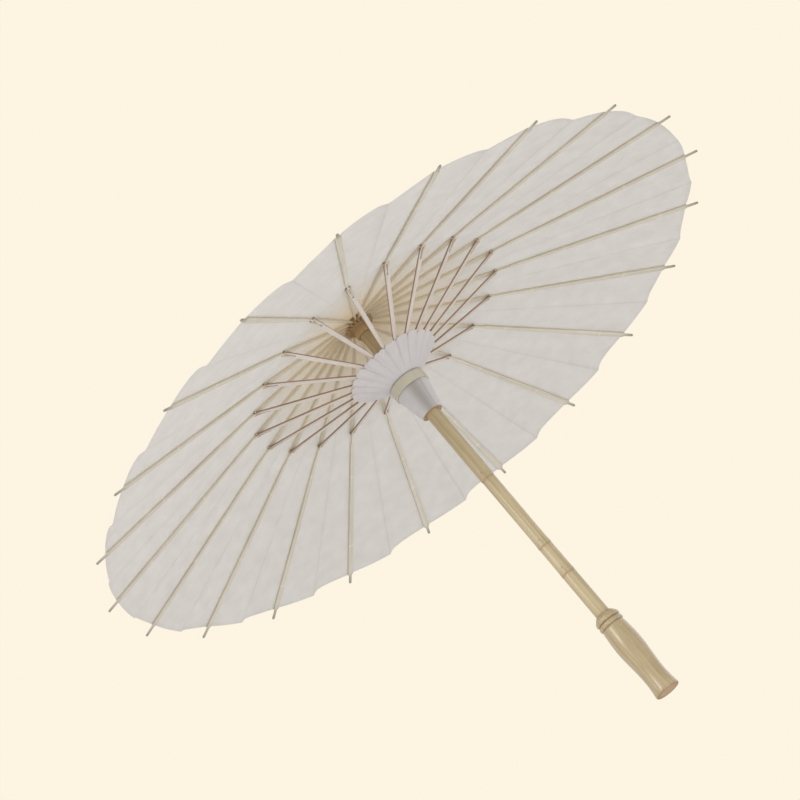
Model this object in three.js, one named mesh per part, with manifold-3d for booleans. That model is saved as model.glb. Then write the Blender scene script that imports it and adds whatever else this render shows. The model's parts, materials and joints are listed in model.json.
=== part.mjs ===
// White oil-paper parasol: a bamboo shaft and handle, a slotted top notch and a sliding runner,
// twenty-one ribs, twenty-one stretchers, a pleated paper canopy and a sprung catch.
// Millimetres, +Z up the shaft, origin at the centre of the handle's flat end, drawn open.
import * as THREE from "three";
import { mergeVertices } from "three/addons/utils/BufferGeometryUtils.js";
import Module from "manifold-3d";

const wasm = await Module();
wasm.setup();

// ---- driving dimensions -------------------------------------------------------------------
const RIB_COUNT = 21;
const FIRST_RIB_AZIMUTH = -Math.PI / 2;
const PITCH = (2 * Math.PI) / RIB_COUNT;

const HINGE_RADIUS = 10; // circle of the rib hinges in the notch, and of the stretcher hinges in the runner
const HINGE_Z = 398.5;
const PIVOT_RADIUS = 121.3; // where a stretcher meets its rib
const PIVOT_Z = 371.2;
const TIP_RADIUS = 300;
const TIP_Z = 323.4;
const RUNNER_PIVOT_Z = 2 * PIVOT_Z - HINGE_Z; // equal links: rib root and stretcher mirror each other
const GAP = 0.3; // between pieces that touch

const SHAFT_RADIUS = 6;
const SHAFT_FOOT_Z = 38.5;
const SHAFT_TOP_Z = 421.5;
const BORE_RADIUS = SHAFT_RADIUS + GAP + 0.05;

const THREAD_RADIUS = 0.4; // the ring threads that string the ribs and the stretchers
const EYE_HOLE_RADIUS = 0.75;
const EYE_RADIUS = 1.5;
const ROOT_WIDTH = 1.4; // rib and stretcher ends inside the slots
const SLOT_WIDTH = 1.9;
const SLOT_FLOOR_RADIUS = 8.1;
const WHEEL_RADIUS = 13;

const RIB_TOP = 1.6; // rib's upper face above the line through its two pivots
const NECK_WIDTH = 1.2; // rib's waist inside the stretcher's fork
const FORK_SLOT = 1.8;
const FORK_EYE_RADIUS = 1.3;
const PIVOT_PIN_RADIUS = 0.45;
const STRETCHER_WIDTH = 4.4;
const STRETCHER_THICKNESS = 1.6;

const PAPER_THICKNESS = 0.4;
const PAPER_HOLE_RADIUS = 14;
const PAPER_RADIUS = 290;

const CATCH_AZIMUTH = Math.PI / 2;
const CATCH_WIDTH = 1.6;
const CATCH_SLOT = { width: 2.4, low: 257, high: 298, floor: 1.4 };

const RUNNER_FOOT_Z = 296;
const BAND = { low: 322, high: 331, radius: 16.4 };
const COLLAR = { inner: 15.4, outer: 40 };

const LINK = Math.hypot(PIVOT_RADIUS - HINGE_RADIUS, HINGE_Z - PIVOT_Z);
const OPEN_SLOPE = Math.atan2(HINGE_Z - PIVOT_Z, PIVOT_RADIUS - HINGE_RADIUS);
const OUTER_SLOPE = Math.atan2(PIVOT_Z - TIP_Z, TIP_RADIUS - PIVOT_RADIUS);
const OUTER_LENGTH = Math.hypot(PIVOT_Z - TIP_Z, TIP_RADIUS - PIVOT_RADIUS);
const BEND = OUTER_SLOPE - OPEN_SLOPE; // the rib bows down a little beyond its pivot

// ---- finishes -----------------------------------------------------------------------------
const FINISH = {
  rib: { color: 0xc8beac, roughness: 0.6, metalness: 0 },
  stretcher: { color: 0xbdb0a0, roughness: 0.62, metalness: 0 },
  shaft: { color: 0xbeaa82, roughness: 0.45, metalness: 0 },
  handle: { color: 0xc3af8c, roughness: 0.4, metalness: 0 },
  notch: { color: 0xaa8755, roughness: 0.6, metalness: 0 },
  paper: { color: 0xd4d0cc, roughness: 0.75, metalness: 0 },
  band: { color: 0xb2ad99, roughness: 0.7, metalness: 0 },
  thread: { color: 0xd8d0c0, roughness: 0.9, metalness: 0 },
  steel: { color: 0x9a9894, roughness: 0.35, metalness: 1 },
};

// ---- helpers ------------------------------------------------------------------------------
function solidOf(geometry) {
  const bare = geometry.clone();
  bare.deleteAttribute("normal");
  bare.deleteAttribute("uv");
  const merged = mergeVertices(bare, 1e-4);
  return new wasm.Manifold(
    new wasm.Mesh({
      numProp: 3,
      vertProperties: merged.attributes.position.array,
      triVerts: new Uint32Array(merged.index.array),
    }),
  );
}

function geometryOf(solid) {
  const mesh = solid.getMesh();
  const geometry = new THREE.BufferGeometry();
  geometry.setAttribute("position", new THREE.BufferAttribute(new Float32Array(mesh.vertProperties), 3));
  geometry.setIndex(new THREE.BufferAttribute(new Uint32Array(mesh.triVerts), 1));
  geometry.computeVertexNormals();
  return geometry;
}

// A profile of [radius, z] points turned about +Z; outer sides run upwards.
function turned(profile, segments) {
  const points = profile.map(([radius, z]) => new THREE.Vector2(radius, z));
  return new THREE.LatheGeometry(points, segments).rotateX(Math.PI / 2);
}

// The same with a hollow middle: the profile closes on itself.
function turnedRing(profile, segments) {
  return turned([...profile, profile[0]], segments);
}

// A ring about +Z, as a thread strung through every rib or stretcher runs: straight between them.
function ring(radius, tube, z, sides) {
  const profile = [];
  for (let i = 0; i < sides; i += 1) {
    const angle = (2 * Math.PI * i) / sides;
    profile.push([radius + tube * Math.cos(angle), z + tube * Math.sin(angle)]);
  }
  return turnedRing(profile, RIB_COUNT);
}

// A side view in x (along the piece) and z, extruded to a width centred on y = 0.
function fromSide(shape, width) {
  const geometry = new THREE.ExtrudeGeometry(shape, { depth: width, bevelEnabled: false, curveSegments: 3 });
  return geometry.rotateX(Math.PI / 2).translate(0, width / 2, 0);
}

// A top view given as [x, half width] stations, mirrored about y = 0 and extruded along z.
function fromAbove(stations, holes = []) {
  const height = 40;
  const right = stations.map(([x, half]) => new THREE.Vector2(x, half));
  const left = stations.map(([x, half]) => new THREE.Vector2(x, -half)).reverse();
  const shape = new THREE.Shape([...right, ...left]);
  shape.holes = holes;
  const geometry = new THREE.ExtrudeGeometry(shape, { depth: height, bevelEnabled: false });
  return geometry.translate(0, 0, -height / 2);
}

function pinAcross(x, radius, length) {
  return new THREE.CylinderGeometry(radius, radius, length, 6).translate(x, 0, 0);
}

function azimuthOf(index) {
  return FIRST_RIB_AZIMUTH + index * PITCH;
}

function numbered(name, index) {
  return `${name}_${String(index + 1).padStart(2, "0")}`;
}

const parasol = new THREE.Group();

function add(parent, name, geometry, finish) {
  const mesh = new THREE.Mesh(geometry, new THREE.MeshStandardMaterial(FINISH[finish]));
  mesh.name = name;
  parent.add(mesh);
  return mesh;
}

// ---- shaft and handle ---------------------------------------------------------------------
function makeShaft() {
  const pole = new THREE.CylinderGeometry(SHAFT_RADIUS, SHAFT_RADIUS, SHAFT_TOP_Z - SHAFT_FOOT_Z, 24)
    .rotateX(Math.PI / 2)
    .translate(0, 0, (SHAFT_TOP_Z + SHAFT_FOOT_Z) / 2);
  const depth = SHAFT_RADIUS + 2 - CATCH_SLOT.floor;
  const slot = new THREE.BoxGeometry(depth, CATCH_SLOT.width, CATCH_SLOT.high - CATCH_SLOT.low)
    .translate(CATCH_SLOT.floor + depth / 2, 0, (CATCH_SLOT.low + CATCH_SLOT.high) / 2)
    .rotateZ(CATCH_AZIMUTH);
  return geometryOf(solidOf(pole).subtract(solidOf(slot)));
}

function makeHandle() {
  const socketFloor = SHAFT_FOOT_Z - GAP;
  const outline = [
    [0, 0],
    [10, 0],
    [10.6, 0.8],
    [9.9, 11],
    [9.8, 17],
    [10.8, 36],
    [11, 47],
    [10.2, 64],
    [9.9, 65.4],
    [10.7, 67.5],
    [10, 69.9],
    [10.7, 72.4],
    [7.6, 76.2],
    [7.1, 78],
    [BORE_RADIUS, 78],
    [BORE_RADIUS, socketFloor],
    [0, socketFloor],
  ];
  return turned(outline, 24);
}

// ---- slotted wheels -----------------------------------------------------------------------
// Cuts the hinge slots and the tunnel of the stringing thread into a turned blank.
function slotted(blank, hingeZ, low, high) {
  const reach = 8;
  let solid = solidOf(blank);
  for (let i = 0; i < RIB_COUNT; i += 1) {
    const slot = new THREE.BoxGeometry(reach, SLOT_WIDTH, high - low)
      .translate(SLOT_FLOOR_RADIUS + reach / 2, 0, (low + high) / 2)
      .rotateZ(azimuthOf(i));
    solid = solid.subtract(solidOf(slot));
  }
  const tunnel = ring(HINGE_RADIUS, EYE_HOLE_RADIUS, hingeZ, 4);
  return geometryOf(solid.subtract(solidOf(tunnel)));
}

function makeNotch() {
  const foot = HINGE_Z - 12;
  const wheelFoot = HINGE_Z - 4;
  const wheelTop = HINGE_Z + 3.5;
  const blank = turnedRing(
    [
      [BORE_RADIUS, foot],
      [7.9, foot],
      [7.9, wheelFoot],
      [WHEEL_RADIUS, wheelFoot],
      [WHEEL_RADIUS, wheelTop - 0.8],
      [WHEEL_RADIUS - 0.8, wheelTop],
      [BORE_RADIUS, wheelTop],
    ],
    RIB_COUNT,
  );
  return slotted(blank, HINGE_Z, wheelFoot - 0.3, wheelTop + 1);
}

function makeRunnerHub() {
  const wheelFoot = RUNNER_PIVOT_Z - 3.5;
  const wheelTop = RUNNER_PIVOT_Z + 4;
  const blank = turnedRing(
    [
      [BORE_RADIUS, RUNNER_FOOT_Z],
      [8.9, RUNNER_FOOT_Z],
      [14.4, BAND.low],
      [14.4, BAND.high - 1],
      [12, BAND.high],
      [7.9, BAND.high + 2],
      [7.9, wheelFoot],
      [WHEEL_RADIUS, wheelFoot],
      [WHEEL_RADIUS, wheelTop],
      [BORE_RADIUS, wheelTop],
    ],
    RIB_COUNT,
  );
  return slotted(blank, RUNNER_PIVOT_Z, wheelFoot - 0.3, wheelTop + 1);
}

function makeRunnerSleeve() {
  return turnedRing(
    [
      [9.25, RUNNER_FOOT_Z + 0.2],
      [9.8, RUNNER_FOOT_Z],
      [15.3, BAND.low - GAP],
      [14.6, BAND.low - GAP],
    ],
    RIB_COUNT,
  );
}

function makeRunnerBand() {
  return turnedRing(
    [
      [14.9, BAND.low],
      [BAND.radius, BAND.low],
      [BAND.radius, BAND.high],
      [14.9, BAND.high],
    ],
    RIB_COUNT,
  );
}

// ---- ribs and stretchers ------------------------------------------------------------------
// x runs from the hub hinge to the pivot; beyond the pivot the rib bends down by BEND.
function ribPoint(x, height) {
  if (x <= LINK) return new THREE.Vector2(x, height);
  const beyond = x - LINK;
  return new THREE.Vector2(
    LINK + beyond * Math.cos(BEND) + height * Math.sin(BEND),
    height * Math.cos(BEND) - beyond * Math.sin(BEND),
  );
}

function makeRib() {
  const tip = LINK + OUTER_LENGTH;
  const side = new THREE.Shape();
  side.absarc(0, 0, EYE_RADIUS, -Math.PI / 2, Math.PI / 2, true);
  const above = [
    [3, RIB_TOP],
    [LINK, RIB_TOP],
    [tip, RIB_TOP - 0.2],
  ];
  const below = [
    [tip, 0],
    [LINK + 70, -0.4],
    [LINK + 5, -0.2],
    [LINK + 1.5, -1.1],
    [LINK - 1.5, -1.1],
    [LINK - 6, -0.8],
    [4, -1.1],
  ];
  for (const [x, height] of [...above, ...below]) {
    const point = ribPoint(x, height);
    side.lineTo(point.x, point.y);
  }
  side.closePath();
  side.holes.push(new THREE.Path().absarc(0, 0, EYE_HOLE_RADIUS, 0, 2 * Math.PI));
  const plan = fromAbove([
    [-3, ROOT_WIDTH / 2],
    [8, ROOT_WIDTH / 2],
    [LINK - 7, 1.6],
    [LINK - 5.5, NECK_WIDTH / 2],
    [LINK + 11, NECK_WIDTH / 2],
    [LINK + 14, 1.4],
    [tip - 13, 2.6],
    [tip - 11, 1.2],
    [tip + 5, 1.1],
  ]);
  const pin = pinAcross(LINK, PIVOT_PIN_RADIUS, STRETCHER_WIDTH);
  return geometryOf(solidOf(fromSide(side, 12)).intersect(solidOf(plan)).add(solidOf(pin)));
}

// x runs from the runner hinge out to the fork that straddles the rib's neck.
function makeStretcher() {
  const half = STRETCHER_THICKNESS / 2;
  const crotch = LINK - 12;
  const side = new THREE.Shape();
  side.absarc(0, 0, EYE_RADIUS, -Math.PI / 2, Math.PI / 2, true);
  side.lineTo(4, half);
  side.lineTo(LINK - 4, half);
  side.absarc(LINK, 0, FORK_EYE_RADIUS, Math.PI / 2, -Math.PI / 2, true);
  side.lineTo(LINK - 4, -half);
  side.lineTo(4, -half);
  side.closePath();
  side.holes.push(new THREE.Path().absarc(0, 0, EYE_HOLE_RADIUS, 0, 2 * Math.PI));
  side.holes.push(new THREE.Path().absarc(LINK, 0, EYE_HOLE_RADIUS, 0, 2 * Math.PI));
  const plan = fromAbove([
    [-3, ROOT_WIDTH / 2],
    [8, ROOT_WIDTH / 2],
    [40, 1.85],
    [LINK + 5, STRETCHER_WIDTH / 2],
  ]);
  const reach = LINK + 5 - crotch;
  const slot = new THREE.BoxGeometry(reach, FORK_SLOT, 10).translate(crotch + reach / 2, 0, 0);
  return geometryOf(solidOf(fromSide(side, 12)).intersect(solidOf(plan)).subtract(solidOf(slot)));
}

// ---- paper --------------------------------------------------------------------------------
// Height of the rib's upper face at a radius, with a clearance added.
function ribFaceZ(radius, clearance) {
  const rise = (RIB_TOP + clearance) / Math.cos(OPEN_SLOPE);
  if (radius <= PIVOT_RADIUS) {
    return HINGE_Z - (radius - HINGE_RADIUS) * Math.tan(OPEN_SLOPE) + rise;
  }
  return PIVOT_Z - (radius - PIVOT_RADIUS) * Math.tan(OUTER_SLOPE) + rise;
}

function makeCanopy() {
  const radii = [PAPER_HOLE_RADIUS, PIVOT_RADIUS, PAPER_RADIUS];
  const under = radii.map((radius) => [radius, ribFaceZ(radius, GAP)]);
  const over = radii.map((radius) => [radius, ribFaceZ(radius, GAP + PAPER_THICKNESS)]).reverse();
  return turnedRing([...under, ...over], 2 * RIB_COUNT);
}

// A cone of paper from the band up to the undersides of the stretchers.
function makeCollar() {
  const slope = Math.tan(OPEN_SLOPE);
  const drop = (STRETCHER_THICKNESS / 2 + GAP) / Math.cos(OPEN_SLOPE);
  const foot = BAND.high + GAP;
  const rim = RUNNER_PIVOT_Z + (COLLAR.outer - HINGE_RADIUS) * slope - drop - PAPER_THICKNESS;
  return turnedRing(
    [
      [COLLAR.inner, foot],
      [COLLAR.outer, rim],
      [COLLAR.outer, rim + PAPER_THICKNESS],
      [COLLAR.inner, foot + PAPER_THICKNESS],
    ],
    2 * RIB_COUNT,
  );
}

// ---- head ---------------------------------------------------------------------------------
const FINIAL_FOOT_Z = 404;

function makeFinial() {
  return turned(
    [
      [0, SHAFT_TOP_Z + GAP],
      [BORE_RADIUS, SHAFT_TOP_Z + GAP],
      [BORE_RADIUS, FINIAL_FOOT_Z],
      [8, FINIAL_FOOT_Z],
      [8, 414],
      [8.6, 416.5],
      [7.4, 420],
      [7.9, 428],
      [6.4, 432.6],
      [0, 434.4],
    ],
    18,
  );
}

function makeHeadCap() {
  const wall = 0.5;
  return turnedRing(
    [
      [8.5, 412],
      [9.2, 405.5],
      [14, 402.9],
      [17, 399.8],
      [17 + wall, 400.1],
      [14 + wall, 403.2],
      [9.2 + wall, 406],
      [8.5 + wall, 412],
    ],
    RIB_COUNT,
  );
}

// ---- sprung catch -------------------------------------------------------------------------
// A thin steel leaf in the shaft's slot; its shoulder holds the runner up.
function makeCatch() {
  const shoulder = RUNNER_FOOT_Z - 0.6;
  const side = new THREE.Shape();
  side.moveTo(3, 260);
  side.lineTo(5.4, 260);
  side.lineTo(8.6, shoulder - 3);
  side.lineTo(8.6, shoulder);
  side.lineTo(4.9, shoulder);
  side.lineTo(3, 264);
  side.closePath();
  return fromSide(side, CATCH_WIDTH).rotateZ(CATCH_AZIMUTH);
}

// ---- assembly -----------------------------------------------------------------------------
add(parasol, "shaft", makeShaft(), "shaft");
add(parasol, "handle", makeHandle(), "handle");
add(parasol, "top_notch", makeNotch(), "notch");
add(parasol, "notch_thread", ring(HINGE_RADIUS, THREAD_RADIUS, HINGE_Z, 6), "thread");
add(parasol, "finial", makeFinial(), "handle");
add(parasol, "head_cap", makeHeadCap(), "paper");
add(parasol, "cap_thread", ring(10, 0.45, 410, 4), "thread");
add(parasol, "canopy_paper", makeCanopy(), "paper");
add(parasol, "latch_catch", makeCatch(), "steel");

add(parasol, "runner_hub", makeRunnerHub(), "notch");
add(parasol, "runner_sleeve", makeRunnerSleeve(), "paper");
add(parasol, "runner_band", makeRunnerBand(), "band");
add(parasol, "runner_thread", ring(HINGE_RADIUS, THREAD_RADIUS, RUNNER_PIVOT_Z, 6), "thread");
add(parasol, "paper_collar", makeCollar(), "paper");

for (let i = 0; i < RIB_COUNT; i += 1) {
  const spoke = new THREE.Group();
  spoke.rotation.z = azimuthOf(i);
  parasol.add(spoke);

  const rib = add(spoke, numbered("rib", i), makeRib(), "rib");
  rib.position.set(HINGE_RADIUS, 0, HINGE_Z);
  rib.rotation.y = OPEN_SLOPE;

  const stretcher = add(spoke, numbered("stretcher", i), makeStretcher(), "stretcher");
  stretcher.position.set(HINGE_RADIUS, 0, RUNNER_PIVOT_Z);
  stretcher.rotation.y = -OPEN_SLOPE;
}

export default parasol;
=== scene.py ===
"""White oil-paper parasol, drawn open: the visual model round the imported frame.

Lengths are written in millimetres and turned into metres where a mesh is made.
"""

import itertools
import json
import random
from math import atan2, cos, exp, hypot, pi, radians, sin, sqrt, tan

import bpy
import numpy as np
from mathutils import Matrix, Vector

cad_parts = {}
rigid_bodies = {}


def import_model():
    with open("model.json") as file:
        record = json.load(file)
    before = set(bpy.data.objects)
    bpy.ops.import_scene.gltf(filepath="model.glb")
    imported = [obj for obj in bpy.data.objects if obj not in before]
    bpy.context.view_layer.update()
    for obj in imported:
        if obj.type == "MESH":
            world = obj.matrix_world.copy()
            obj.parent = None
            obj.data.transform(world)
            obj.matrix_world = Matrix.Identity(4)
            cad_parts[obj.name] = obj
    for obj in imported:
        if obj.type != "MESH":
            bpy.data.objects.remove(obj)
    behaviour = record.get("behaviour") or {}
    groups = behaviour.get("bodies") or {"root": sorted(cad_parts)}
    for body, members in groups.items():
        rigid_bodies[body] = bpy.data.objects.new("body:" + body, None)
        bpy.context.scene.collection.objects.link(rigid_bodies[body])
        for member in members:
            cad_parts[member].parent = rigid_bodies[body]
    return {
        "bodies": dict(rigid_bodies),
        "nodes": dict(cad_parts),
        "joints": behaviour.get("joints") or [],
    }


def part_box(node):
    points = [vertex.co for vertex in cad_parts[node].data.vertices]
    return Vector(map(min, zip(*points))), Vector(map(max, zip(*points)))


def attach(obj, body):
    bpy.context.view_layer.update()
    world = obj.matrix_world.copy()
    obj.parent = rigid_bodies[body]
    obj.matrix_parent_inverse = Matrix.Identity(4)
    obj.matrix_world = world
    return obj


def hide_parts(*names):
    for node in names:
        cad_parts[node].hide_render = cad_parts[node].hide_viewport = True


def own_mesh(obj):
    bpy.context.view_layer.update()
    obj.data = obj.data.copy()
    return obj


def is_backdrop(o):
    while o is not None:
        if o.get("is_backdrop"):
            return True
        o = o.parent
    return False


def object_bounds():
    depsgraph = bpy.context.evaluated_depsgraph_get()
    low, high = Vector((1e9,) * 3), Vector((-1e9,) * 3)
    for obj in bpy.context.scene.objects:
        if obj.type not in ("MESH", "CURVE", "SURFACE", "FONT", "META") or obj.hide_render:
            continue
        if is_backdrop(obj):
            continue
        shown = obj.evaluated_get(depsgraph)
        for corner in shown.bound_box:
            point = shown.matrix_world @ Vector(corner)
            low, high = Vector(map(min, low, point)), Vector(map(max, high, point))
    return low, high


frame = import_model()
size_of_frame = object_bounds()

MM = 0.001
RIB_COUNT = sum(name.startswith("rib_") for name in frame["bodies"])
PITCH = 2 * pi / RIB_COUNT
JOINTS = {joint["name"]: joint for joint in frame["joints"]}


def place_of(joint):
    """(azimuth, radius, height) of a joint, in millimetres."""
    x, y, z = (value / MM for value in JOINTS[joint]["pos_m"])
    return atan2(y, x), hypot(x, y), z


def box_of(node):
    """Lowest and highest corner of a CAD node, in millimetres."""
    low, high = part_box(node)
    return low / MM, high / MM


# ---- measures taken from the frame ----
FIRST_AZIMUTH, HINGE_R, HINGE_Z = place_of("canopy_fold")
_, PIVOT_R, PIVOT_Z = place_of("stretcher_01_pivot")
_, RUNNER_R, RUNNER_Z = place_of("runner_hinge")
LINK = hypot(PIVOT_R - HINGE_R, HINGE_Z - PIVOT_Z)
OPEN_SLOPE = atan2(HINGE_Z - PIVOT_Z, PIVOT_R - HINGE_R)
TIP_Z = box_of("rib_01")[0].z
TIP_R = -box_of("rib_01")[0].y - 0.36
OUTER_SLOPE = atan2(PIVOT_Z - TIP_Z, TIP_R - PIVOT_R)
OUTER_LENGTH = hypot(PIVOT_Z - TIP_Z, TIP_R - PIVOT_R)
BEND = OUTER_SLOPE - OPEN_SLOPE
TIP = LINK + OUTER_LENGTH

HANDLE_TOP = box_of("handle")[1].z
SHAFT_LOW, SHAFT_HIGH = box_of("shaft")[0].z, box_of("shaft")[1].z
SHAFT_R = box_of("shaft")[1].x
BORE_R = SHAFT_R + 0.35
CANOPY_R = 290.0
CANOPY_HOLE_R = 14.0
RUNNER_FOOT = box_of("runner_hub")[0].z
BAND_LOW, BAND_HIGH = box_of("runner_band")[0].z, box_of("runner_band")[1].z
BAND_R = box_of("runner_band")[1].x
CAP_LOW, CAP_HIGH = box_of("head_cap")[0].z, box_of("head_cap")[1].z
CAP_R = box_of("head_cap")[1].x
FINIAL_LOW, FINIAL_HIGH = box_of("finial")[0].z, box_of("finial")[1].z

RIB_TOP = 1.6  # rib's upper face above the line through its two pivots
PAPER_THICKNESS = 0.3
PAPER_HEIGHT = RIB_TOP + 0.2  # middle of the sheet above that line
STRIP_HALF_WIDTH = 1.75  # the paper glued flat along a rib
FOLD_LEAN = radians(7)  # a folded pleat leans this much towards its own rib
CAP_THICKNESS = 0.25
RUFF_THICKNESS = 0.2


# ---- node graphs ----
def srgb(red, green, blue):
    """Linear colour of an 8-bit sRGB one."""
    channels = []
    for value in (red, green, blue):
        share = value / 255
        channels.append(share / 12.92 if share <= 0.04045 else ((share + 0.055) / 1.055) ** 2.4)
    return (*channels, 1.0)


class Graph:
    """Short names for the nodes of one material."""

    def __init__(self, name, roughness, **inputs):
        self.material = bpy.data.materials.new(name)
        self.material.use_nodes = True
        self.tree = self.material.node_tree
        self.shader = self.tree.nodes["Principled BSDF"]
        self.output = self.tree.nodes["Material Output"]
        self.shader.inputs["Roughness"].default_value = roughness
        for key, value in inputs.items():
            self.shader.inputs[key.replace("_", " ")].default_value = value

    def add(self, kind, sockets=None, **properties):
        node = self.tree.nodes.new("ShaderNode" + kind)
        for key, value in properties.items():
            setattr(node, key, value)
        for key, value in (sockets or {}).items():
            if isinstance(value, bpy.types.NodeSocket):
                self.tree.links.new(value, node.inputs[key])
            else:
                node.inputs[key].default_value = value
        return node

    def place(self, source, scale):
        """Texture coordinates, 'Object' or 'UV', stretched by scale."""
        coordinates = self.add("TexCoord").outputs[source]
        sockets = {"Vector": coordinates, "Scale": scale}
        return self.add("Mapping", sockets).outputs["Vector"]

    def noise(self, place, scale=1.0, detail=3.0, roughness=0.55, distortion=0.0):
        sockets = {
            "Vector": place, "Scale": scale, "Detail": detail, "Roughness": roughness,
            "Distortion": distortion,
        }
        return self.add("TexNoise", sockets).outputs["Fac"]

    def ramp(self, factor, stops):
        node = self.add("ValToRGB", {"Fac": factor})
        elements = node.color_ramp.elements
        while len(elements) < len(stops):
            elements.new(0.5)
        for element, (position, colour) in zip(elements, stops):
            element.position = position
            element.color = colour
        return node.outputs["Color"]

    def grey(self, factor, low, high, dark=0.0, light=1.0):
        """A number that goes from dark to light as factor goes from low to high."""
        sockets = {"Value": factor, 1: low, 2: high, 3: dark, 4: light}
        return self.add("MapRange", sockets).outputs["Result"]

    def mix(self, factor, first, second, mode="MIX"):
        node = self.add("Mix", data_type="RGBA", blend_type=mode)
        for index, value in ((0, factor), (6, first), (7, second)):
            if isinstance(value, bpy.types.NodeSocket):
                self.tree.links.new(value, node.inputs[index])
            else:
                node.inputs[index].default_value = value
        return node.outputs[2]

    def sum(self, first, second, weight=1.0):
        scaled = self.add("Math", {0: second, 1: weight}, operation="MULTIPLY")
        sockets = {0: first, 1: scaled.outputs[0]}
        return self.add("Math", sockets, operation="ADD").outputs[0]

    def attribute(self, name):
        return self.add("Attribute", attribute_name=name).outputs["Fac"]

    def blend(self, factor, first, second):
        """A shader that goes from first to second."""
        return self.add("MixShader", {0: factor, 1: first, 2: second}).outputs[0]

    def surface(self, shader):
        self.tree.links.new(shader, self.output.inputs["Surface"])

    def finish(self, colour, height=None, strength=0.3, distance=0.0002, roughness=None):
        self.tree.links.new(colour, self.shader.inputs["Base Color"])
        if roughness is not None:
            self.tree.links.new(roughness, self.shader.inputs["Roughness"])
        if height is not None:
            sockets = {"Height": height, "Strength": strength, "Distance": distance}
            bump = self.add("Bump", sockets)
            self.tree.links.new(bump.outputs["Normal"], self.shader.inputs["Normal"])
        return self.material


WEATHERED_GREY = srgb(146, 140, 124)
FOLD_SHADE = srgb(150, 142, 134)
# Paler than the paper: the paste's yellowing, lightened into painted light near the hub.
PASTE_STAIN_AND_LIGHT = srgb(252, 239, 214)


def bamboo(name, source, along, pale, deep, dark, roughness, fibre=1.0, coat=0.0, relief=0.35):
    """Long fibres along one axis ('X' of the UVs or 'Z' of the object) and soft blotches. The
    piece's tone attribute leads to dark, and its weather attribute to grey."""
    graph = Graph(name, roughness, Coat_Weight=coat, Coat_Roughness=0.25)
    across = (2600.0, 2600.0, 2600.0)
    stretch = {"X": (22.0, *across[1:]), "Z": (*across[:2], 22.0)}[along]
    broad = {"X": (9.0, 420.0, 420.0), "Z": (420.0, 420.0, 9.0)}[along]
    fibres = graph.noise(graph.place(source, stretch), detail=2.0)
    streaks = graph.noise(graph.place(source, broad), detail=3.0)
    blotch = graph.noise(graph.place(source, (60.0, 60.0, 60.0)), detail=2.0)
    colour = graph.ramp(streaks, [(0.3, deep), (0.68, pale)])
    shade = graph.grey(fibres, 0.3, 0.7, 0.86, 1.06)
    colour = graph.mix(fibre, colour, shade, "MULTIPLY")
    colour = graph.mix(0.5, colour, graph.grey(blotch, 0.3, 0.7, 0.9, 1.06), "MULTIPLY")
    colour = graph.mix(graph.attribute("tone"), colour, dark)
    colour = graph.mix(graph.attribute("weather"), colour, WEATHERED_GREY)
    rough = graph.grey(fibres, 0.3, 0.7, roughness + 0.08, roughness - 0.06)
    return graph.finish(colour, graph.sum(fibres, streaks, 0.6), relief, 0.00012, rough)


def paper(name, source, pale, deep, translucent=0.0, fibre=0.5):
    """Mulberry paper: cloudy, with thin wandering fibres in it. The piece's tone attribute leads
    to a grey: painted shade in folds, creases and gaps, a darker rim and the dark line of a seam.
    Its weather attribute leads to the yellowing of paste, paler than the paper: partly painted
    light."""
    graph = Graph(name, 0.72, Sheen_Weight=0.08, Sheen_Roughness=0.5)
    even = graph.place(source, (1.0, 1.0, 1.0))
    cloud = graph.noise(even, 70.0, 4.0, 0.6)
    grain = graph.noise(even, 1500.0, 2.0, 0.6)
    hairs = graph.noise(even, 210.0, 1.0, 0.4, 4.5)
    off, on = (0, 0, 0, 1), (1, 1, 1, 1)
    strand = graph.ramp(hairs, [(0.475, off), (0.492, on), (0.508, on), (0.525, off)])
    patches = graph.grey(graph.noise(even, 38.0, 2.0), 0.45, 0.62)
    strand = graph.mix(1.0, strand, patches, "MULTIPLY")
    colour = graph.ramp(cloud, [(0.25, deep), (0.75, pale)])
    colour = graph.mix(0.35, colour, graph.grey(grain, 0.3, 0.7, 0.9, 1.05), "MULTIPLY")
    whiter = tuple(min(1.0, value * 1.12) for value in pale[:3]) + (1.0,)
    factor = graph.add("Math", {0: strand, 1: fibre}, operation="MULTIPLY")
    colour = graph.mix(factor.outputs[0], colour, whiter)
    colour = graph.mix(graph.attribute("tone"), colour, FOLD_SHADE)
    colour = graph.mix(graph.attribute("weather"), colour, PASTE_STAIN_AND_LIGHT)
    height = graph.sum(graph.sum(grain, cloud, 1.5), strand, 0.35)
    made = graph.finish(colour, height, 0.25, 0.0001)
    if translucent:
        back = graph.add("BsdfTranslucent", {"Color": colour})
        graph.surface(graph.blend(translucent, graph.shader.outputs[0], back.outputs[0]))
    return made


def end_grain(name, pale, dark):
    """The cut end of a culm: small dark bundles in a pale ground."""
    graph = Graph(name, 0.7)
    even = graph.place("Object", (1.0, 1.0, 1.0))
    cells = graph.add("TexVoronoi", {"Vector": even, "Scale": 900.0})
    dots = graph.grey(cells.outputs["Distance"], 0.12, 0.4)
    cloud = graph.noise(even, 160.0, 3.0)
    colour = graph.ramp(graph.sum(dots, cloud, 0.5), [(0.35, dark), (1.0, pale)])
    colour = graph.mix(graph.attribute("tone"), colour, dark)
    return graph.finish(colour, dots, 0.4, 0.00015)


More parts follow.
